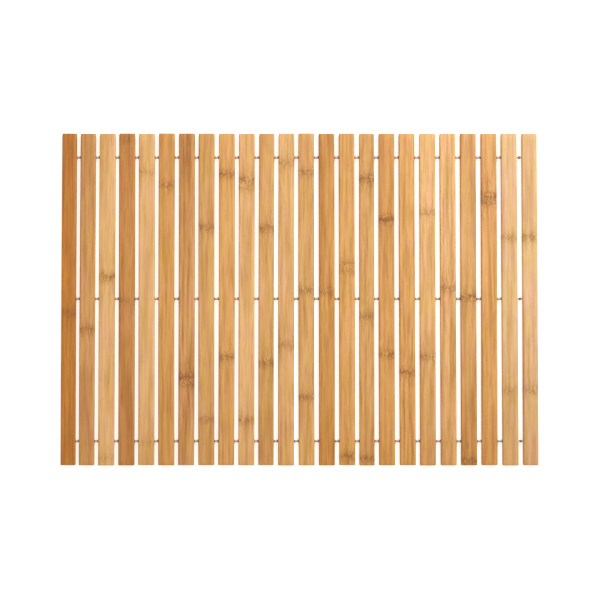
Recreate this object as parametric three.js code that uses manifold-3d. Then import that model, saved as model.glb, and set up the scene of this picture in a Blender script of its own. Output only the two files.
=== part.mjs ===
// A roll-up duckboard bath mat: parallel bamboo slats strung on three elastic cords, with a
// short spacer tube round each cord in every gap between two slats. Millimetres, +Z up.
// X runs across the slats, Y runs along them, and the origin is on the floor under the
// middle of the mat. The slats are numbered from -X to +X.

import * as THREE from "three";
import { mergeVertices } from "three/addons/utils/BufferGeometryUtils.js";
import Module from "manifold-3d";

const wasm = await Module();
wasm.setup();

// Driving dimensions: the slats. A few are ripped narrower than the rest.
const slatCount = 24;
const slatLength = 400;
const slatThickness = 8;
const slatWidth = 19.3;
const narrowerSlats = { 1: 17.6, 2: 18.4, 11: 18.6, 16: 18.4, 24: 18.6 };
const edgeRadius = 1.6;
const endChamfer = 1;

// The drain gaps open up a little from the first slat to the last.
const firstGap = 4.5;
const lastGap = 5.5;

// The cords run through cross holes at half the slats' thickness, in three rows.
const cordRows = { cord_front: -171, cord_middle: 0, cord_back: 171 };
const cordDiameter = 1.2;
const cordHoleDiameter = 2.2;
const cordSides = 8;
const holeSides = 8;

// Each gap's spacer fills it but for a little play at both faces. The last gap has a round
// bead in each row instead, which leaves more play.
const spacerDiameter = 3.5;
const spacerPlay = 0.3;
const beadPlay = 1.1;

// Each cord ends in a knot that sits in a counterbore in the outer slat's edge.
const knotDiameter = 3.2;
const knotLength = 3;
const counterboreDiameter = 4.4;
const counterboreDepth = 4.5;

const bamboo = { color: 0xd2a066, roughness: 0.5, metalness: 0 };
const softPlastic = { color: 0xb4ac9d, roughness: 0.55, metalness: 0 };

function gapAfter(number) {
  const share = (number - 1) / (slatCount - 2);
  return firstGap + (lastGap - firstGap) * share;
}

// Left and right face of every slat, laid out from the left and then centred.
function layOutSlats() {
  const slats = [];
  let left = 0;
  for (let number = 1; number <= slatCount; number++) {
    const width = narrowerSlats[number] ?? slatWidth;
    slats.push({ number, width, left, right: left + width });
    left += width + gapAfter(number);
  }
  const middle = slats.at(-1).right / 2;
  for (const slat of slats) {
    slat.left -= middle;
    slat.right -= middle;
  }
  return slats;
}

function toSolid(geometry) {
  const bare = geometry.clone();
  bare.deleteAttribute("normal");
  bare.deleteAttribute("uv");
  const merged = mergeVertices(bare, 1e-4);
  return new wasm.Manifold(
    new wasm.Mesh({
      numProp: 3,
      vertProperties: merged.attributes.position.array,
      triVerts: new Uint32Array(merged.index.array),
    }),
  );
}

function toGeometry(solid) {
  const mesh = solid.getMesh();
  const geometry = new THREE.BufferGeometry();
  geometry.setAttribute("position", new THREE.BufferAttribute(mesh.vertProperties, 3));
  geometry.setIndex(new THREE.BufferAttribute(mesh.triVerts, 1));
  geometry.computeVertexNormals();
  return geometry;
}

function roundedRectangle(width, height, radius) {
  const x = width / 2;
  const y = height / 2;
  const outline = new THREE.Shape();
  outline.moveTo(-x + radius, -y);
  outline.lineTo(x - radius, -y);
  outline.absarc(x - radius, -y + radius, radius, -Math.PI / 2, 0);
  outline.lineTo(x, y - radius);
  outline.absarc(x - radius, y - radius, radius, 0, Math.PI / 2);
  outline.lineTo(-x + radius, y);
  outline.absarc(-x + radius, y - radius, radius, Math.PI / 2, Math.PI);
  outline.lineTo(-x, -y + radius);
  outline.absarc(-x + radius, -y + radius, radius, Math.PI, 1.5 * Math.PI);
  return outline;
}

// A cylinder along X between two X values, at a cord row and at the cords' height.
function crossDrill(diameter, from, to, row) {
  const drill = new THREE.CylinderGeometry(diameter / 2, diameter / 2, to - from, holeSides);
  drill.rotateZ(Math.PI / 2);
  drill.translate((from + to) / 2, row, slatThickness / 2);
  return toSolid(drill);
}

// A slat is an extruded strip with rounded long edges and chamfered ends, drilled across
// for the cords. The two outer slats are counterbored from outside for the knots.
function makeSlat({ number, width, left, right }) {
  const blank = new THREE.ExtrudeGeometry(roundedRectangle(width, slatThickness, edgeRadius), {
    depth: slatLength - 2 * endChamfer,
    bevelThickness: endChamfer,
    bevelSize: endChamfer,
    bevelOffset: -endChamfer,
    bevelSegments: 1,
    curveSegments: 2,
  });
  blank.rotateX(Math.PI / 2);
  blank.translate((left + right) / 2, slatLength / 2 - endChamfer, slatThickness / 2);

  let solid = toSolid(blank);
  for (const row of Object.values(cordRows)) {
    solid = solid.subtract(crossDrill(cordHoleDiameter, left - 1, right + 1, row));
    if (number === 1) {
      const bore = crossDrill(counterboreDiameter, left - 1, left + counterboreDepth, row);
      solid = solid.subtract(bore);
    }
    if (number === slatCount) {
      const bore = crossDrill(counterboreDiameter, right - counterboreDepth, right + 1, row);
      solid = solid.subtract(bore);
    }
  }
  return toGeometry(solid);
}

// A cord with its spacers and its two end knots is one turned shape. The profile runs
// along X from knot to knot, as pairs of radius and place.
function makeCord(slats) {
  const cordRadius = cordDiameter / 2;
  const knotRadius = knotDiameter / 2;
  const spacerRadius = spacerDiameter / 2;
  const leftBoreEnd = slats[0].left + counterboreDepth;
  const rightBoreEnd = slats.at(-1).right - counterboreDepth;
  const leftKnotEnd = leftBoreEnd - spacerPlay;
  const rightKnotStart = rightBoreEnd + spacerPlay;

  const profile = [];
  const addPoint = (radius, place) => profile.push(new THREE.Vector2(radius, place));

  addPoint(0, leftKnotEnd - knotLength);
  addPoint(0.7 * knotRadius, leftKnotEnd - knotLength);
  addPoint(knotRadius, leftKnotEnd - 0.6 * knotLength);
  addPoint(0.8 * knotRadius, leftKnotEnd);
  addPoint(cordRadius, leftKnotEnd);
  for (let i = 1; i < slatCount; i++) {
    const play = i === slatCount - 1 ? beadPlay : spacerPlay;
    const start = slats[i - 1].right + play;
    const end = slats[i].left - play;
    addPoint(cordRadius, start);
    addPoint(spacerRadius, start);
    addPoint(spacerRadius, end);
    addPoint(cordRadius, end);
  }
  addPoint(cordRadius, rightKnotStart);
  addPoint(0.8 * knotRadius, rightKnotStart);
  addPoint(knotRadius, rightKnotStart + 0.6 * knotLength);
  addPoint(0.7 * knotRadius, rightKnotStart + knotLength);
  addPoint(0, rightKnotStart + knotLength);

  const cord = new THREE.LatheGeometry(profile, cordSides);
  cord.rotateZ(-Math.PI / 2);
  return cord;
}

const mat = new THREE.Group();
const slats = layOutSlats();

for (const slat of slats) {
  const mesh = new THREE.Mesh(makeSlat(slat), new THREE.MeshStandardMaterial(bamboo));
  mesh.name = `slat_${String(slat.number).padStart(2, "0")}`;
  mat.add(mesh);
}

for (const [name, row] of Object.entries(cordRows)) {
  const mesh = new THREE.Mesh(makeCord(slats), new THREE.MeshStandardMaterial(softPlastic));
  mesh.name = name;
  mesh.position.set(0, row, slatThickness / 2);
  mat.add(mesh);
}

export default mat;
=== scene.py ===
# %% [markdown]
# # A roll-up bamboo bath mat
#
# On the real mat, strips of bamboo are planed, drilled across, lacquered and threaded on
# three elastic cords. A short plastic tube on each cord keeps every gap open, so that
# water drains through and the mat rolls up. The CAD model holds the sizes and the joints,
# and this notebook builds what the eye sees: eased edges, bamboo nodes, fibres and a
# satin lacquer. It starts by loading the CAD model, whose parts are never moved here.

# %% Load the CAD model
import math
import random
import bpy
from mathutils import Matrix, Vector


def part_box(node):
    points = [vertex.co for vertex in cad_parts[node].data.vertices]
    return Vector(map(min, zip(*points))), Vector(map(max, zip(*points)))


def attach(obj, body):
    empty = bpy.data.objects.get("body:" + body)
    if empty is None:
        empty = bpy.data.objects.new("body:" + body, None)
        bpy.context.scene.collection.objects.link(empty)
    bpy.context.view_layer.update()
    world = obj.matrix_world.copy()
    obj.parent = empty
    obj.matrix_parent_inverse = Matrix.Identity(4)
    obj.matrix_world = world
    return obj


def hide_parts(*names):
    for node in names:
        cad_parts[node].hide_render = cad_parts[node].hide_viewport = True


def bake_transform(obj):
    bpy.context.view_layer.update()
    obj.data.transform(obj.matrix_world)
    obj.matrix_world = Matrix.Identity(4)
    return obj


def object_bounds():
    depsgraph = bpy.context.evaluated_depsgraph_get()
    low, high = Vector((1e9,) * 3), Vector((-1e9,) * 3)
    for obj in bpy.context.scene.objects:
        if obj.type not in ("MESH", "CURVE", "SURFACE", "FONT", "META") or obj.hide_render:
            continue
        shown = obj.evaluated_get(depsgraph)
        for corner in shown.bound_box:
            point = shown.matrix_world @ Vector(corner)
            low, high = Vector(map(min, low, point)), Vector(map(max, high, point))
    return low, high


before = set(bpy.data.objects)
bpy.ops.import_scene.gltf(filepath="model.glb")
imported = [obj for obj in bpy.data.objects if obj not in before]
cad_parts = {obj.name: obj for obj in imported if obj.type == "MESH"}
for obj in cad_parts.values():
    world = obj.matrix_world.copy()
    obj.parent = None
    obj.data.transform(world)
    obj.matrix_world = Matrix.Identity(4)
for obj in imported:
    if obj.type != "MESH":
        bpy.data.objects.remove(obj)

from types import SimpleNamespace

import bmesh
import bpy
import numpy as np
from mathutils import Vector

MM = 0.001
cad_low, cad_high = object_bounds()
cad_size = cad_high - cad_low
print("the CAD model measures", [round(side / MM, 1) for side in cad_size], "mm")

# %% [markdown]
# ## The layout
#
# Every place comes from the CAD boxes. The slats are numbered from -X to +X, and the three
# cord rows lie along X at the height of the slats' middle. Real slats never line up quite
# evenly, so each one also gets a small lean and a small bow in the plane of the mat. They
# are drawn from a seeded generator, so each run gives the same mat.

# %% Read the slats and the cord rows
rng = random.Random(7)
most_lean = 0.35 * MM
most_bow = 0.3 * MM

slats = []
for name in sorted(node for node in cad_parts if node.startswith("slat_")):
    low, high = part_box(name)
    slats.append(SimpleNamespace(
        name=name,
        number=len(slats) + 1,
        left=low.x,
        right=high.x,
        lean=rng.uniform(-most_lean, most_lean),
        bow=rng.uniform(-most_bow, most_bow),
    ))
slat_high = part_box(slats[0].name)[1]
half_length = slat_high.y
thickness = slat_high.z

rows = {}
for name in ("cord_front", "cord_middle", "cord_back"):
    low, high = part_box(name)
    rows[name] = (low.y + high.y) / 2
cord_height = thickness / 2


def sideways(slat, y):
    """How far the slat's middle line lies from straight at y, from its lean and its bow."""
    share = y / half_length
    return slat.lean * share + slat.bow * (1 - share * share)


print(len(slats), "slats", round(2 * half_length / MM), "mm long, rows at y =",
      [round(y / MM) for y in rows.values()], "mm")

# %% [markdown]
# ## The camera
#
# The mat is seen from above, as it lies on a floor. A long lens far away keeps the slats
# parallel, and a few degrees of tilt bring the near ends a little closer. The lens
# follows from the distance and the width that the picture should hold. The aim is a
# millimetre or so off the middle, as it is when a camera is lined up by hand.

# %% Place the camera
picture_width = 723 * MM
camera_distance = 2000 * MM
camera_elevation = math.radians(87.5)
aim_off_middle = (0.5 * MM, -1.5 * MM)

camera = bpy.data.objects.new("camera", bpy.data.cameras.new("camera"))
bpy.context.scene.collection.objects.link(camera)
camera.data.sensor_width = 36
camera.data.lens = camera.data.sensor_width * camera_distance / picture_width
aim = Vector((*aim_off_middle, thickness / 2))
away = Vector((0, -math.cos(camera_elevation), math.sin(camera_elevation)))
camera.location = aim + away * camera_distance
camera.rotation_euler = (-away).to_track_quat("-Z", "Y").to_euler()
bpy.context.scene.camera = camera
print("the lens is", round(camera.data.lens), "mm long")

# %% [markdown]
# ## Colours and shader nodes
#
# Colours are easiest to pick as sRGB hex values, but Blender's shaders work in linear
# light, so one function turns them. A second function adds a shader node, sets it up and
# links or fills its inputs, which keeps each material readable as a list of steps.

# %% Helpers for colours and shader nodes
def linear(hex_colour, alpha=1.0):
    """A linear colour with alpha from a hex value such as "c8a06e"."""
    parts = [int(hex_colour[i:i + 2], 16) / 255 for i in (0, 2, 4)]
    return (*[c / 12.92 if c <= 0.04045 else ((c + 0.055) / 1.055) ** 2.4 for c in parts], alpha)


def add(tree, kind, inputs=None, **settings):
    """Adds a node. Inputs are named or numbered, and are either values or other sockets."""
    node = tree.nodes.new(kind)
    for name, value in settings.items():
        setattr(node, name, value)
    for name, value in (inputs or {}).items():
        if isinstance(value, bpy.types.NodeSocket):
            tree.links.new(value, node.inputs[name])
        else:
            node.inputs[name].default_value = value
    return node


def new_material(name):
    """A material with its node tree and its Principled shader."""
    material = bpy.data.materials.new(name)
    material.use_nodes = True
    return material, material.node_tree, material.node_tree.nodes["Principled BSDF"]


# %% [markdown]
# ## The floor
#
# Such a mat is shown on a light table: a white floor that also glows a little, so that it
# comes out plain white even inside the narrow drain gaps, where a lamp hardly reaches. It
# is one large square face, and it only sets the stage, so it isn't part of the mat.

# %% Build the floor
floor_size = 8.0
floor_mesh = bpy.data.meshes.new("floor")
half_floor = floor_size / 2
corners = [(x * half_floor, y * half_floor, 0) for x, y in ((-1, -1), (1, -1), (1, 1), (-1, 1))]
floor_mesh.from_pydata(corners, [], [(0, 1, 2, 3)])
floor = bpy.data.objects.new("floor", floor_mesh)
bpy.context.scene.collection.objects.link(floor)
print("the floor is", floor_size, "m wide")

# %% The floor material
# Opal acrylic: matt and white, with only a trace of unevenness so that it isn't a flat tone.
floor_glow = 0.72
opal, tree, surface = new_material("opal_acrylic")
place = add(tree, "ShaderNodeTexCoord").outputs["Object"]
unevenness = add(tree, "ShaderNodeTexNoise", {"Vector": place, "Scale": 3.0, "Detail": 2.0})
shade = add(tree, "ShaderNodeMix", {
    0: unevenness.outputs["Fac"],
    6: linear("f2f1ee"),
    7: linear("f6f5f3"),
}, data_type="RGBA")
tree.links.new(shade.outputs[2], surface.inputs["Base Color"])
tree.links.new(shade.outputs[2], surface.inputs["Emission Color"])
surface.inputs["Emission Strength"].default_value = floor_glow
surface.inputs["Roughness"].default_value = 0.9
surface.inputs["Specular IOR Level"].default_value = 0.2
floor_mesh.materials.append(opal)
print("the floor is made of", opal.name)

# %% [markdown]
# ## The light
#
# One large soft lamp at the back right gives the lacquer a broad sheen from that side, and
# a white surround fills in the rest. At full strength the surround would light the mat too
# flatly, but at half strength it would look grey behind a low view. So it is white to rays
# that come straight from the camera, and only half as bright to all others. The Standard
# view keeps the wood's colours as they are, where the default view would wash them out.

# %% Set the surround
surround_light = 0.48
world = bpy.data.worlds.new("surround")
bpy.context.scene.world = world
world.use_nodes = True
background = world.node_tree.nodes["Background"]
background.inputs["Color"].default_value = linear("fffefb")
light_path = add(world.node_tree, "ShaderNodeLightPath")
seen = add(
    world.node_tree,
    "ShaderNodeMath",
    {0: light_path.outputs["Is Camera Ray"], 1: 1 - surround_light, 2: surround_light},
    operation="MULTIPLY_ADD",
)
world.node_tree.links.new(seen.outputs["Value"], background.inputs["Strength"])
print("the surround lights the mat at", surround_light, "of full strength")

# %% Set the lamp
lamp_place = Vector((1.1, 1.5, 1.9))
lamp_size = 0.9
lamp_power = 66
lamp_data = bpy.data.lights.new("soft_lamp", "AREA")
lamp_data.shape = "SQUARE"
lamp_data.size = lamp_size
lamp_data.energy = lamp_power
lamp = bpy.data.objects.new("soft_lamp", lamp_data)
lamp.location = lamp_place
lamp.rotation_euler = (-lamp_place).to_track_quat("-Z", "Y").to_euler()
lamp.visible_camera = False
bpy.context.scene.collection.objects.link(lamp)
bpy.context.scene.view_settings.view_transform = "Standard"
print("the lamp is", round(lamp_place.length, 1), "m from the mat")

# %% [markdown]
# ## Shapes from sections and profiles
#
# Two kinds of shape make the whole mat. A slat is a stack of cross-sections along Y,
# joined ring to ring like the ribs of a boat. Cords, tubes and drills are turned: a profile
# spun round the X axis. Both end as plain lists of vertices and faces, so one function can
# make any of them into an object, with smooth shading that stays crisp at real edges.

# %% Helpers for shapes
crease_degrees = 40


def joined_rings(rings, capped=True, looped=False):
    """Vertices and faces of a skin over rings of points that all have the same count."""
    count = len(rings[0])
    vertices = [tuple(point) for ring in rings for point in ring]
    faces = []
    last = len(rings) if looped else len(rings) - 1
    for i in range(last):
        here, there = i * count, (i + 1) % len(rings) * count
        for j in range(count):
            k = (j + 1) % count
            faces.append((here + j, here + k, there + k, there + j))
    if capped:
        faces.append(tuple(range(count)))
        faces.append(tuple(range((len(rings) - 1) * count, len(rings) * count)))
    return vertices, faces


def turned(profile, centre, sides, looped=False):
    """A profile of (place along X, radius) pairs, spun round the X axis through centre."""
    rings = []
    for place, radius in profile:
        angles = [2 * math.pi * k / sides for k in range(sides)]
        rings.append([
            (place, centre[0] + radius * math.cos(angle), centre[1] + radius * math.sin(angle))
            for angle in angles
        ])
    return joined_rings(rings, capped=not looped, looped=looped)


def smooth(mesh):
    """Shades a mesh smooth, but for edges sharper than the crease."""
    mesh.shade_smooth()
    mesh.set_sharp_from_angle(angle=math.radians(crease_degrees))


def make_object(name, vertices, faces, material=None):
    """A smooth mesh object with its faces pointing out."""
    mesh = bpy.data.meshes.new(name)
    mesh.from_pydata(vertices, [], faces)
    shell = bmesh.new()
    shell.from_mesh(mesh)
    bmesh.ops.recalc_face_normals(shell, faces=shell.faces)
    shell.to_mesh(mesh)
    shell.free()
    smooth(mesh)
    if material:
        mesh.materials.append(material)
    made = bpy.data.objects.new(name, mesh)
    bpy.context.scene.collection.objects.link(made)
    return made


# %% [markdown]
# ## One slat
#
# A slat is ripped from a bamboo culm, planed flat and sanded. Its long edges are eased by
# 1.5 mm. The ends are sawn square and only lightly sanded, so the corners stay crisp, and
# no two slats are quite the same length. Where the culm had a node, the strip stays
# slightly thicker and wider, because a plane never takes the swelling off completely. The
# sections lie close together at the ends and nodes, and further apart between them.

# %% Measures of a slat
edge_radius = 1.5 * MM
end_radius = 0.9 * MM
corner_share = 0.4
most_trim = 0.4 * MM
crown = 0.10 * MM
node_swelling = 0.14 * MM
node_reach = 5.4 * MM
arc_steps = 5
top_cuts = 7
side_cuts = 2
section_pitch = 7 * MM
first_plain = 4 * MM
last_plain = 3.9 * MM
node_pitch = 1.2 * MM
node_span = 2.4 * node_reach
node_from_end = 2 * MM


# %% Sections of a slat
def outline(half_width, half_height, radius):
    """A rounded rectangle round the origin in (x, z), with cuts along its flats."""
    points = []
    for sign_x, sign_z, start in ((1, -1, -90), (1, 1, 0), (-1, 1, 90), (-1, -1, 180)):
        for step in range(arc_steps + 1):
            angle = math.radians(start + 90 * step / arc_steps)
            x = sign_x * (half_width - radius) + radius * math.cos(angle)
            z = sign_z * (half_height - radius) + radius * math.sin(angle)
            points.append((x, z))
        corner = points[-1]
        cuts = side_cuts if sign_x * sign_z < 0 else top_cuts
        for cut in range(1, cuts + 1):
            share = cut / (cuts + 1)
            if sign_x * sign_z < 0:
                points.append((corner[0], corner[1] * (1 - 2 * share)))
            else:
                points.append((corner[0] * (1 - 2 * share), corner[1]))
    return points


def node_band(y, nodes):
    """How much of a node there is at y: its strength on the node, falling to 0 beside it."""
    bands = [
        strength * math.exp(-((y - node * MM) / node_reach) ** 2)
        for node, strength in nodes.items()
    ]
    return max(bands, default=0)


def section_places(front, back, nodes):
    """Places along Y for the sections of a slat that reaches from front to back."""
    places = list(np.arange(front + first_plain, back - last_plain, section_pitch))
    for node in nodes:
        near = np.arange(node * MM - node_span, node * MM + node_span, node_pitch)
        places += [y for y in near if front + node_from_end < y < back - node_from_end]
    for step in range(arc_steps + 1):
        depth = end_radius * (1 - math.sin(math.pi / 2 * step / arc_steps))
        places += [front + depth, back - depth]
    return sorted(set(round(y, 6) for y in places))


def slat_rings(slat, nodes):
    """The slat's sections as rings of points, from its front end to its back end."""
    rings = []
    middle = (slat.left + slat.right) / 2
    front = -half_length + rng.uniform(0, most_trim)
    back = half_length - rng.uniform(0, most_trim)
    for y in section_places(front, back, nodes):
        band = node_band(y, nodes)
        depth = max(0, min(back - y, y - front, end_radius))
        inset = end_radius - math.sqrt(end_radius ** 2 - (end_radius - depth) ** 2)
        half_width = (slat.right - slat.left) / 2 - corner_share * inset
        half_width += 0.5 * node_swelling * band
        half_height = thickness / 2 - inset
        ring = []
        for x, z in outline(half_width, half_height, edge_radius - 0.5 * inset):
            if z > 0:
                z += (crown + node_swelling * band) * (1 - (x / half_width) ** 2)
            ring.append((middle + sideways(slat, y) + x, y, thickness / 2 + z))
        rings.append(ring)
    return rings


# %% [markdown]
# ## Drilling
#
# Each slat is drilled across in three places for the cords, and the drill leaves a small
# countersink at both faces. The two outer slats also have a wider counterbore from outside,
# which hides the cord's end knot. A Boolean modifier cuts the drills' turned shape out of
# the slat, as a drill would, and the result is kept as the slat's own mesh.

# %% Drill a slat
hole_radius = 1.1 * MM
countersink = 0.25 * MM
counterbore_radius = 2.2 * MM
counterbore_depth = 4.5 * MM
drill_sides = 28
drill_overshoot = 0.6 * MM


def drill_profile(slat, left, right):
    """The drill's profile across a slat between its two faces."""
    start = left - drill_overshoot
    end = right + drill_overshoot
    flared = hole_radius + countersink + drill_overshoot
    way_in = [(start, flared), (left + countersink, hole_radius)]
    way_out = [(right - countersink, hole_radius), (end, flared)]
    if slat is slats[0]:
        bottom = left + counterbore_depth
        way_in = [(start, counterbore_radius), (bottom, counterbore_radius), (bottom, hole_radius)]
    if slat is slats[-1]:
        bottom = right - counterbore_depth
        way_out = [(bottom, hole_radius), (bottom, counterbore_radius), (end, counterbore_radius)]
    return way_in + way_out


def drill(slat, blank):
    """Cuts the three cord holes out of a slat's object."""
    vertices, faces = [], []
    for y in rows.values():
        shift = sideways(slat, y)
        profile = drill_profile(slat, slat.left + shift, slat.right + shift)
        more, more_faces = turned(profile, (y, cord_height), drill_sides)
        faces += [tuple(len(vertices) + corner for corner in face) for face in more_faces]
        vertices += more
    cutter = make_object("drill", vertices, faces)
    cut = blank.modifiers.new("cord_holes", "BOOLEAN")
    cut.operation = "DIFFERENCE"
    cut.solver = "EXACT"
    cut.object = cutter
    bpy.context.view_layer.update()
    evaluated = blank.evaluated_get(bpy.context.evaluated_depsgraph_get())
    drilled = bpy.data.meshes.new_from_object(evaluated)
    blank.modifiers.clear()
    blank.data = drilled
    bpy.data.objects.remove(cutter)


# %% [markdown]
# ## Tones and strips
#
# Bamboo has no growth rings. What the eye reads is fibre bundles that run straight along
# the strip, as fine darker dashes in a paler ground, in broad streaks of a more golden or
# more peach cast. At each node the bundles knot into a mottled brown band. Each strip
# comes from another culm, and steaming browns some more than others, so each slat has its
# own entry here. Its ends are darkened too: partly its own tone, and partly painted shade
# where the light falls off towards the front of the mat, most on the right.

# %% Tones and strips
tones = {
    "toffee": "c2802c",
    "chestnut": "d09c64",
    "amber": "c68c4c",
    "honey": "d29c58",
    "tan": "d4a468",
    "golden": "d8a464",
    "straw": "deb07c",
    "pale": "d8b084",
}

# slat number: tone,
#     nodes as {mm from the slat's middle: strength},
#     how much browner its back end and its front end are, partly tone, partly painted shade,
#     strength of the streaks
strips = {
    1: ("toffee", {-17: 0.6}, (0.6, 0.2), 0.9),
    2: ("chestnut", {-37: 0.7}, (0.7, 0.7), 0.8),
    3: ("straw", {26: 0.8, -191: 0.4}, (0.2, 0.0), 0.6),
    4: ("amber", {192: 0.4, -3: 0.5}, (0.6, 0.6), 0.9),
    5: ("straw", {153: 0.4, -172: 0.3}, (0.2, 0.5), 0.5),
    6: ("honey", {138: 0.7}, (0.4, 0.5), 0.8),
    7: ("chestnut", {-94: 0.9, -102: 0.7}, (0.8, 0.2), 1.2),
    8: ("tan", {86: 0.7, -145: 0.5}, (0.6, 0.6), 0.7),
    9: ("golden", {151: 0.8, -70: 0.7}, (0.0, 0.5), 0.7),
    10: ("straw", {143: 0.8, 135: 0.6, -146: 0.7}, (0.4, 0.3), 0.7),
    11: ("tan", {85: 0.8, -77: 0.7}, (0.3, 0.7), 0.7),
    12: ("straw", {165: 0.6, -56: 0.6}, (0.0, 0.7), 0.8),
    13: ("tan", {153: 0.7, 10: 0.7, -118: 0.7}, (0.3, 0.0), 0.8),
    14: ("honey", {9: 0.6}, (0.7, 1.2), 1.0),
    15: ("golden", {43: 0.5, 33: 0.6, -189: 0.7}, (0.2, 0.4), 0.8),
    16: ("tan", {145: 1.0, -21: 0.7, -192: 0.7}, (0.4, 0.5), 0.9),
    17: ("honey", {95: 1.1, -67: 0.8}, (0.4, 0.3), 0.8),
    18: ("golden", {-88: 0.8}, (0.1, 0.6), 1.1),
    19: ("straw", {104: 0.6, -70: 0.7}, (0.0, 1.0), 0.7),
    20: ("straw", {12: 0.7}, (0.1, 0.8), 1.0),
    21: ("tan", {2: 1.0, -195: 0.8}, (0.4, 1.2), 0.9),
    22: ("golden", {124: 1.0, 117: 0.9}, (0.3, 0.8), 1.0),
    23: ("pale", {74: 0.6, -110: 0.5}, (0.1, 0.7), 0.5),
    24: ("pale", {74: 0.7, -110: 0.6}, (0.1, 0.7), 0.6),
}
print(len(strips), "strips in", len(tones), "tones, with",
      sum(len(nodes) for tone, nodes, browner, strength in strips.values()), "nodes")

# %% [markdown]
# ## Patterns that follow the fibres
#
# Nearly every mark in bamboo is long and narrow, so a pattern here is a noise that can be
# stretched along Y. Its two sizes are in real millimetres, which makes it easy to compare
# with a strip in the hand. Out of a pattern come patches, with slopes between them as sharp
# as wanted. Most patches end up as a stain: a colour that multiplies what lies under it,
# so that a brown always stays warm.

# %% Helpers for patterns and stains
def pattern(tree, place, size_mm, shift, detail=1.0):
    """A noise whose patches are about as wide along X and as long along Y as the size."""
    width, length = (side * MM for side in size_mm)
    stretched = add(tree, "ShaderNodeMapping", {
        "Vector": place,
        "Location": [shift * 1.0, shift * 1.7, shift * 2.3],
        "Scale": (1 / width, 1 / length, 1 / width),
    })
    noise = add(tree, "ShaderNodeTexNoise", {
        "Vector": stretched.outputs["Vector"],
        "Scale": 1.0,
        "Detail": detail,
    })
    return noise.outputs["Fac"]


def patches(tree, place, size_mm, shift, low, high, to_low=0.0, to_high=1.0, detail=1.0):
    """A pattern that is to_low where the noise is under low, and to_high where over high."""
    picked = add(tree, "ShaderNodeMapRange", {
        "Value": pattern(tree, place, size_mm, shift, detail),
        "From Min": low,
        "From Max": high,
        "To Min": to_low,
        "To Max": to_high,
    })
    return picked.outputs["Result"]


def stained(tree, colour, stain, share, mask=None):
    """Multiplies a colour by a stain, as far as the share and the mask let it."""
    if mask is not None:
        masked = add(tree, "ShaderNodeMath", {0: share, 1: mask}, operation="MULTIPLY")
        share = masked.outputs["Value"]
    inputs = {0: share, 6: colour, 7: stain}
    mixed = add(tree, "ShaderNodeMix", inputs, data_type="RGBA", blend_type="MULTIPLY")
    return mixed.outputs[2]


# %% [markdown]
# ## Streaks
#
# The first layer of the bamboo colour is its streaks: broad ones of light and dark, then
# others of a golden and a peach cast, then narrower dark ones and slow clouds.

# %% Streaks of tone
lighter = (1.08, 1.09, 1.14, 1)
darker = (0.82, 0.71, 0.50, 1)
golden_cast = (0.99, 1.00, 0.74, 1)
peach_cast = (1.02, 0.96, 0.98, 1)
streak_mm = (4.0, 110)
cast_mm = (5.5, 50)
narrow_mm = (2.0, 30)
cloud_mm = (9, 32)


def streaked(tree, place, tone, strength, shifts):
    """The colour of a strip with its streaks, casts and clouds."""
    streaks = pattern(tree, place, streak_mm, next(shifts))
    light = add(tree, "ShaderNodeMapRange", {"Value": streaks, "From Min": 0.35, "From Max": 0.65})
    colour = stained(tree, linear(tones[tone]), lighter, light.outputs["Result"])
    dark = add(tree, "ShaderNodeMapRange", {"Value": streaks, "From Min": 0.55, "From Max": 0.30})
    colour = stained(tree, colour, darker, dark.outputs["Result"], strength)
    casts = patches(tree, place, cast_mm, next(shifts), 0.36, 0.64)
    inputs = {0: casts, 6: golden_cast, 7: peach_cast}
    cast = add(tree, "ShaderNodeMix", inputs, data_type="RGBA")
    colour = stained(tree, colour, cast.outputs[2], 1.0)
    narrow = patches(tree, place, narrow_mm, next(shifts), 0.50, 0.72, 0, 0.8 * strength)
    colour = stained(tree, colour, darker, narrow)
    clouds = patches(tree, place, cloud_mm, next(shifts), 0.45, 0.70, 0, 0.3)
    return stained(tree, colour, darker, clouds)


# %% [markdown]
# ## Fibres
#
# A fibre bundle is about 0.3 mm wide. From the distance at which a whole mat is seen, such
# thin ones would melt into an even tone, so the main ones are drawn 0.8 mm wide. Seen
# close, the lacquer shows the true bundles too, as hair lines and short dark dashes.

# %% Fibre bundles, hair lines and dashes
bundle_brown = (0.72, 0.56, 0.34, 1)
bundle_mm = (0.8, 26)
hair_mm = (0.3, 40)
dash_mm = (0.45, 5)


def fibred(tree, place, colour, zone, strength, shifts):
    """Adds the fibres to a colour. Gives the colour and the share of bundles."""
    bundles = patches(tree, place, bundle_mm, next(shifts), 0.50, 0.68, detail=2.0)
    inputs = {0: zone, 1: 0.7, 2: 0.5 * strength}
    more_near_nodes = add(tree, "ShaderNodeMath", inputs, operation="MULTIPLY_ADD")
    colour = stained(tree, colour, bundle_brown, bundles, more_near_nodes.outputs["Value"])
    hairs = patches(tree, place, hair_mm, next(shifts), 0.5, 0.7, 0, 0.25)
    colour = stained(tree, colour, bundle_brown, hairs)
    dashes = patches(tree, place, dash_mm, next(shifts), 0.66, 0.74, 0, 0.6)
    return stained(tree, colour, bundle_brown, dashes), bundles


# %% [markdown]
# ## Nodes
#
# At a node the stem had its joint, and the bundles cross over each other there. Brown
# flames lick out of it along the fibres. On it lies a brown band, in which knotted
# bundles draw short curved dark lines with pale flecks beside them. The lines are where a
# noise passes through its middle value, which gives closed loops and curls.

# %% Node marks
node_brown = (0.45, 0.31, 0.03, 1)
fleck_pale = (1.12, 1.16, 1.30, 1)
flame_mm = (2.6, 16)
curl_mm = (3.4, 4.5)
more_brown_on_lines = 0.78
brown_between_lines = 0.22


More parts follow.
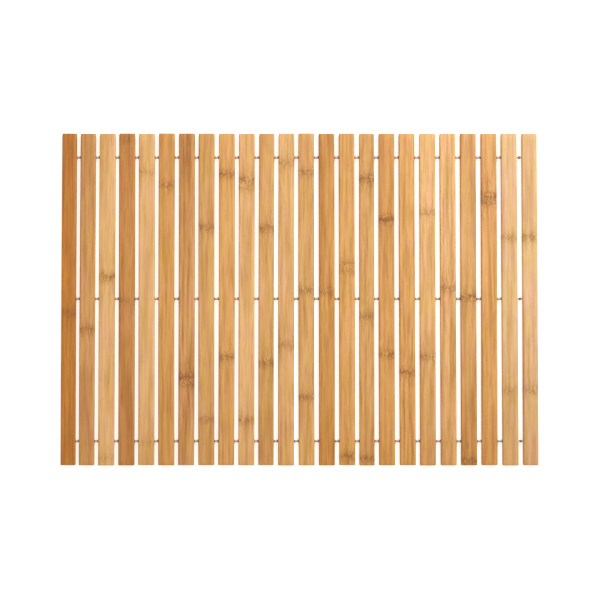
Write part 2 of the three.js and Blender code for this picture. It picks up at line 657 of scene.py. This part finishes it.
def node_marked(tree, place, colour, band, zone, shifts):
    """Adds the node marks to a colour. Gives the colour and the share of node brown."""
    flames = patches(tree, place, flame_mm, next(shifts), 0.40, 0.62)
    colour = stained(tree, colour, darker, zone, flames)
    curls = pattern(tree, place, curl_mm, next(shifts))
    over_middle = add(tree, "ShaderNodeMath", {0: curls, 1: 0.5}, operation="SUBTRACT")
    inputs = {0: over_middle.outputs["Value"]}
    off_middle = add(tree, "ShaderNodeMath", inputs, operation="ABSOLUTE")
    lines = add(tree, "ShaderNodeMapRange", {
        "Value": off_middle.outputs["Value"],
        "From Min": 0.02,
        "From Max": 0.09,
        "To Min": 1.0,
        "To Max": 0.0,
    })
    flecks = add(tree, "ShaderNodeMapRange", {"Value": curls, "From Min": 0.58, "From Max": 0.68})
    colour = stained(tree, colour, fleck_pale, band, flecks.outputs["Result"])
    inputs = {0: lines.outputs["Result"], 1: more_brown_on_lines, 2: brown_between_lines}
    lined = add(tree, "ShaderNodeMath", inputs, operation="MULTIPLY_ADD")
    inputs = {0: band, 1: lined.outputs["Value"]}
    brown_share = add(tree, "ShaderNodeMath", inputs, operation="MULTIPLY").outputs["Value"]
    return stained(tree, colour, node_brown, brown_share), brown_share


# %% [markdown]
# ## End grain
#
# A sawn end shows the bundles end on, as dots. It soaks up more lacquer than the faces and
# turns darker. The object's own normal tells which faces look along the strip.

# %% End grain
end_brown = (0.55, 0.45, 0.34, 1)
dot_mm = (0.7, 0.7)


def end_grained(tree, straight, normal, colour, shifts):
    """Adds the end grain to a colour, on faces that look along Y."""
    parts = add(tree, "ShaderNodeSeparateXYZ", {"Vector": normal})
    along = add(tree, "ShaderNodeMath", {0: parts.outputs["Y"]}, operation="ABSOLUTE")
    dots = patches(tree, straight, dot_mm, next(shifts), 0.45, 0.62, 0.55, 1.0)
    inputs = {"Value": along.outputs["Value"], "From Min": 0.2, "From Max": 0.7}
    facing = add(tree, "ShaderNodeMapRange", inputs)
    return stained(tree, colour, end_brown, facing.outputs["Result"], dots)


# %% [markdown]
# ## The lacquered bamboo
#
# The layers come together here. The mesh stores three values that say where the nodes are
# and how deep the colour is. Near a node the bundles swerve sideways by a millimetre or
# two, so the place at which the streaks, fibres and node marks are read is pushed aside
# there. A thin satin lacquer lies over everything, smoother on the dense bundles than on
# the soft ground between them. The bundles stand out from the face, and the node marks
# sink into it, by hundredths of a millimetre.

# %% The bamboo material
# Lacquered bamboo: the fibres give long fine streaks, and the clear satin lacquer over them
# gives a soft broad sheen.
wood_ior = 1.5
lacquer_weight = 0.15
lacquer_roughness = 0.38
swerve_mm = (5, 9)
most_swerve = 2.0 * MM
relief_height = 0.05 * MM
node_sink = -0.5
ground_roughness = 0.56
bundle_roughness = 0.44
# More shifts are drawn than there are patterns, so that one more pattern in the bamboo
# would leave all the other slats as they are.
shifts_for_a_slat = 15


def bamboo_material(slat, tone, strength):
    """The lacquered bamboo of one slat."""
    material, tree, surface = new_material(f"lacquered_bamboo_{slat.number:02d}")
    shifts = iter([rng.uniform(-90, 90) for _ in range(shifts_for_a_slat)])
    texture_space = add(tree, "ShaderNodeTexCoord")
    straight = texture_space.outputs["Object"]
    band = add(tree, "ShaderNodeAttribute", attribute_name="node_band").outputs["Fac"]
    zone = add(tree, "ShaderNodeAttribute", attribute_name="node_zone").outputs["Fac"]
    depth = add(tree, "ShaderNodeAttribute", attribute_name="depth").outputs["Fac"]

    swerve = patches(
        tree, straight, swerve_mm, next(shifts), 0.3, 0.7, -most_swerve, most_swerve
    )
    swerve_here = add(tree, "ShaderNodeMath", {0: swerve, 1: zone}, operation="MULTIPLY")
    aside = add(tree, "ShaderNodeCombineXYZ", {"X": swerve_here.outputs["Value"]})
    pushed = {0: straight, 1: aside.outputs["Vector"]}
    place = add(tree, "ShaderNodeVectorMath", pushed, operation="ADD").outputs["Vector"]

    colour = streaked(tree, place, tone, strength, shifts)
    # Partly painted shade: darker ends, for the strip's tone and for light falling off at the
    # front right.
    colour = stained(tree, colour, darker, depth)
    colour, bundles = fibred(tree, place, colour, zone, strength, shifts)
    colour, brown_share = node_marked(tree, place, colour, band, zone, shifts)
    colour = end_grained(tree, straight, texture_space.outputs["Normal"], colour, shifts)
    tree.links.new(colour, surface.inputs["Base Color"])

    roughness = add(tree, "ShaderNodeMapRange", {
        "Value": bundles,
        "To Min": ground_roughness,
        "To Max": bundle_roughness,
    })
    tree.links.new(roughness.outputs["Result"], surface.inputs["Roughness"])
    inputs = {0: brown_share, 1: node_sink, 2: bundles}
    relief = add(tree, "ShaderNodeMath", inputs, operation="MULTIPLY_ADD")
    bump = add(tree, "ShaderNodeBump", {
        "Strength": 0.3,
        "Distance": relief_height,
        "Height": relief.outputs["Value"],
    })
    tree.links.new(bump.outputs["Normal"], surface.inputs["Normal"])
    surface.inputs["IOR"].default_value = wood_ior
    surface.inputs["Coat Weight"].default_value = lacquer_weight
    surface.inputs["Coat Roughness"].default_value = lacquer_roughness
    return material


# %% [markdown]
# ## All the slats
#
# Each slat is lofted, drilled, given its material and set to ride on its own CAD body, and
# its plain CAD solid is hidden. The mesh also stores three values for the material: how
# much of a node there is, how near one is, and how deep the colour is.

# %% Values along a slat
zone_reach = 16 * MM


def node_zone(y, nodes):
    """How near a node is: its strength on the node, fading over a centimetre or two."""
    zones = [
        strength * math.exp(-abs(y - node * MM) / zone_reach)
        for node, strength in nodes.items()
    ]
    return max(zones, default=0)


def store(mesh, name, values):
    """Stores one value for each vertex, which a material can read by its name."""
    mesh.attributes.new(name, "FLOAT", "POINT").data.foreach_set("value", values)


# %% Build the slats
darkening_places = (-half_length, 0, half_length)
for slat in slats:
    tone, nodes, (back_darkening, front_darkening), strength = strips[slat.number]
    vertices, faces = joined_rings(slat_rings(slat, nodes))
    piece = make_object(f"bamboo_{slat.name}", vertices, faces)
    drill(slat, piece)
    mesh = piece.data
    smooth(mesh)
    along = [vertex.co.y for vertex in mesh.vertices]
    store(mesh, "node_band", [node_band(y, nodes) for y in along])
    store(mesh, "node_zone", [node_zone(y, nodes) for y in along])
    # Partly painted shade: darker ends, for the strip's tone and for light falling off at the
    # front right.
    store(mesh, "depth", np.interp(along, darkening_places, (front_darkening, 0, back_darkening)))
    mesh.materials.clear()
    mesh.materials.append(bamboo_material(slat, tone, strength))
    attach(piece, slat.name)
    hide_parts(slat.name)
print("built", len(slats), "slats, the last with", len(mesh.vertices), "vertices")

# %% [markdown]
# ## Spacer tubes
#
# A spacer is a short length of soft, smoky polyethylene tube, a little slimmer in the
# middle where it isn't pressed against the wood. The last gap has a round bead in each
# row instead. Tube and bead are turned from a closed profile with the cord's bore
# through the middle. A tube touches the slats on both sides.

# %% The spacer material
# Smoky polyethylene: light goes a little way into it, so its middle looks warm grey. The
# brown-grey at its ends is painted shade from the slats beside them; a bead has it all over.
smoke_light = "c6beae"
smoke_dark = "ada596"
# the painted shade at a tube's ends and over a bead
smoke_painted_shade = "7d6f60"
smoke_cloud_mm = (1.5, 1.5)
smoky_tube, tree, surface = new_material("smoky_polyethylene")
place = add(tree, "ShaderNodeTexCoord").outputs["Object"]
clouds = pattern(tree, place, smoke_cloud_mm, 0)
shade = add(tree, "ShaderNodeMapRange", {"Value": clouds, "From Min": 0.3, "From Max": 0.7})
smoke = add(tree, "ShaderNodeMix", {
    0: shade.outputs["Result"],
    6: linear(smoke_dark),
    7: linear(smoke_light),
}, data_type="RGBA")
# Painted shade: near the slats the colour turns to the shaded brown-grey, and a bead is that
# colour all over.
painted_end_shade = add(tree, "ShaderNodeAttribute", attribute_name="painted_end_shade")
smoke = add(tree, "ShaderNodeMix", {
    0: painted_end_shade.outputs["Fac"],
    6: smoke.outputs[2],
    7: linear(smoke_painted_shade),
}, data_type="RGBA")
tree.links.new(smoke.outputs[2], surface.inputs["Base Color"])
roughness = add(tree, "ShaderNodeMapRange", {
    "Value": clouds,
    "From Min": 0.3,
    "From Max": 0.7,
    "To Min": 0.5,
    "To Max": 0.38,
})
tree.links.new(roughness.outputs["Result"], surface.inputs["Roughness"])
surface.inputs["IOR"].default_value = 1.51
surface.inputs["Subsurface Weight"].default_value = 0.15
surface.inputs["Subsurface Radius"].default_value = (1.0, 0.9, 0.75)
surface.inputs["Subsurface Scale"].default_value = 0.8 * MM
print("the spacers are made of", smoky_tube.name)

# %% Shape of a tube
tube_radius = 1.75 * MM
waist_radius = 1.35 * MM
bore_radius = 0.72 * MM
tube_lip = 0.35 * MM
waist_steps = 8


def tube_profile(start, end):
    """A closed profile of a waisted tube with soft ends, as (place, radius) pairs."""
    profile = []
    lips = ((start + tube_lip, (180, 150, 120, 90)), (end - tube_lip, (90, 60, 30, 0)))
    for centre, angles in lips:
        for degrees in angles:
            angle = math.radians(degrees)
            radius = tube_radius - tube_lip * (1 - math.sin(angle))
            profile.append((centre + tube_lip * math.cos(angle), radius))
    waist = []
    for step in range(1, waist_steps):
        share = step / waist_steps
        place = start + tube_lip + (end - start - 2 * tube_lip) * share
        radius = tube_radius - (tube_radius - waist_radius) * math.sin(math.pi * share) ** 2
        waist.append((place, radius))
    first_lip_points = 4
    profile[first_lip_points:first_lip_points] = waist
    bore = [end, *[place for place, radius in reversed(waist)], start]
    return profile + [(place, bore_radius) for place in bore]


# %% Shape of a bead
bead_steps = 12


def bead_profile(start, end):
    """A closed profile of a round bead between two places."""
    centre = (start + end) / 2
    half = (end - start) / 2
    profile = []
    for step in range(bead_steps + 1):
        angle = math.pi * (1 - step / bead_steps)
        radius = bore_radius + (tube_radius - bore_radius) * math.sin(angle)
        profile.append((centre + half * math.cos(angle), radius))
    return profile + [(centre, bore_radius)]


# %% [markdown]
# ## Cords
#
# The cord is thin clear elastic, about a millimetre thick. It runs whole from knot to knot,
# through every slat. Here it is made as one length for each gap, which reaches to the
# middle of the slats on both sides, where the next length meets it out of sight.

# %% The cord material
# Clear elastic: pale, waxy and faintly glossy, with a slight cloudiness along its length.
wax_dark = "cfc9bd"
wax_light = "e6e1d8"
wax_cloud = 2.5 * MM
elastic, tree, surface = new_material("clear_elastic")
place = add(tree, "ShaderNodeTexCoord").outputs["Object"]
clouds = add(tree, "ShaderNodeTexNoise", {"Vector": place, "Scale": 1 / wax_cloud, "Detail": 3.0})
cloudiness = clouds.outputs["Fac"]
shade = add(tree, "ShaderNodeMapRange", {"Value": cloudiness, "From Min": 0.3, "From Max": 0.7})
wax = add(tree, "ShaderNodeMix", {
    0: shade.outputs["Result"],
    6: linear(wax_dark),
    7: linear(wax_light),
}, data_type="RGBA")
tree.links.new(wax.outputs[2], surface.inputs["Base Color"])
roughness = add(tree, "ShaderNodeMapRange", {
    "Value": cloudiness,
    "From Min": 0.3,
    "From Max": 0.7,
    "To Min": 0.30,
    "To Max": 0.42,
})
tree.links.new(roughness.outputs["Result"], surface.inputs["Roughness"])
surface.inputs["IOR"].default_value = 1.5
surface.inputs["Subsurface Weight"].default_value = 0.25
surface.inputs["Subsurface Radius"].default_value = (1.0, 0.95, 0.9)
surface.inputs["Subsurface Scale"].default_value = 0.6 * MM
print("the cords are made of", elastic.name)

# %% [markdown]
# ## Knots
#
# Each end of a cord is tied in an overhand knot, pulled tight against the bottom of the
# counterbore. With its ends joined, an overhand knot is a trefoil, which has a short
# formula. Rings of points are laid square to that path, and the last ring meets the first.

# %% Shape of a knot
cord_radius = 0.6 * MM
pulled_thin = 0.9
cord_sides = 12
knot_turn_radius = 0.34 * MM
knot_depth = 0.55 * MM
knot_steps = 60


def knot_shape(centre, row):
    """A trefoil knot of cord round the X axis at a cord row."""
    angles = np.linspace(0, 2 * math.pi, knot_steps, endpoint=False)
    path = np.stack([
        centre - knot_depth * np.sin(3 * angles),
        row + knot_turn_radius * (np.sin(angles) + 2 * np.sin(2 * angles)),
        cord_height + knot_turn_radius * (np.cos(angles) - 2 * np.cos(2 * angles)),
    ], axis=1)
    rings = []
    for i, point in enumerate(path):
        forward = path[(i + 1) % knot_steps] - path[i - 1]
        forward /= np.linalg.norm(forward)
        outward = point - np.array([centre, row, cord_height])
        across = np.cross(forward, outward)
        across /= np.linalg.norm(across)
        up = np.cross(across, forward)
        ring = []
        for k in range(cord_sides):
            angle = 2 * math.pi * k / cord_sides
            off_path = math.cos(angle) * across + math.sin(angle) * up
            ring.append(tuple(point + cord_radius * pulled_thin * off_path))
        rings.append(ring)
    return joined_rings(rings, capped=False, looped=True)


# %% [markdown]
# ## Threading the mat
#
# Each gap of each row gets its spacer and its length of cord. Together with the knots they
# stand for the row's CAD solid.
# The places come from the slats as they really lie, with their lean and bow, so that a
# tube ends where the wood begins.

# %% Places along a row
knot_room = 1.3 * MM
knot_left = slats[0].left + counterbore_depth - knot_room
knot_right = slats[-1].right - counterbore_depth + knot_room
print("each cord measures", round((knot_right - knot_left) / MM), "mm from knot to knot")


def faces_at(gap, row):
    """The two slat faces of a gap at a cord row: right face of one, left face of the next."""
    before, after = slats[gap - 1], slats[gap]
    return before.right + sideways(before, row), after.left + sideways(after, row)


def middle_at(slat, row):
    """The middle of a slat at a cord row."""
    return (slat.left + slat.right) / 2 + sideways(slat, row)


def bend_across(piece):
    """Bakes a piece's place into its mesh."""
    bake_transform(piece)


# %% Make a spacer
tube_play = 0.04 * MM
bead_play = 0.9 * MM
turned_sides = 24
end_shade_gain = 1.3


def make_spacer(side, row, gap, start, end):
    """The tube or bead of one gap, which also stores its share of painted shade at each point."""
    last = gap == len(slats) - 1
    if last:
        profile = bead_profile(start + bead_play, end - bead_play)
    else:
        profile = tube_profile(start + tube_play, end - tube_play)
    vertices, faces = turned(profile, (row, cord_height), turned_sides, looped=True)
    kind = "bead" if last else "spacer"
    spacer = make_object(f"{kind}_{side}_{gap:02d}", vertices, faces, smoky_tube)
    middle, half = (start + end) / 2, (end - start) / 2
    shares = [abs(x - middle) / half for x, y, z in vertices]
    # Painted shade share: it rises towards a tube's ends and is full over a bead.
    end_shade_shares = [1.0 if last else min(1, end_shade_gain * share ** 2) for share in shares]
    store(spacer.data, "painted_end_shade", end_shade_shares)
    return spacer


# %% Make a length of cord
cord_points_in_gap = 7


def make_cord(side, row, gap, start, end):
    """The cord from the middle of one slat to the middle of the next, or to a knot."""
    first_end = knot_left if gap == 1 else middle_at(slats[gap - 1], row)
    last_end = knot_right if gap == len(slats) - 1 else middle_at(slats[gap], row)
    places = [first_end, *np.linspace(start, end, cord_points_in_gap), last_end]
    profile = [(x, cord_radius) for x in places]
    vertices, faces = turned(profile, (row, cord_height), cord_sides)
    return make_object(f"elastic_{side}_{gap:02d}", vertices, faces, elastic)


# %% Thread the rows
knots = 0
for row_name, row in rows.items():
    side = row_name.removeprefix("cord_")
    for gap in range(1, len(slats)):
        start, end = faces_at(gap, row)
        spacer = make_spacer(side, row, gap, start, end)
        bend_across(spacer)
        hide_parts(row_name)
        cord = make_cord(side, row, gap, start, end)
        bend_across(cord)
        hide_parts(row_name)
    for slat, place in ((slats[0], knot_left), (slats[-1], knot_right)):
        vertices, faces = knot_shape(place + sideways(slat, row), row)
        knot = make_object(f"knot_{side}_{slat.number:02d}", vertices, faces, elastic)
        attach(knot, slat.name)
        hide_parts(row_name)
        knots += 1
print("built", len(rows) * (len(slats) - 1), "spacers and", knots, "knots")
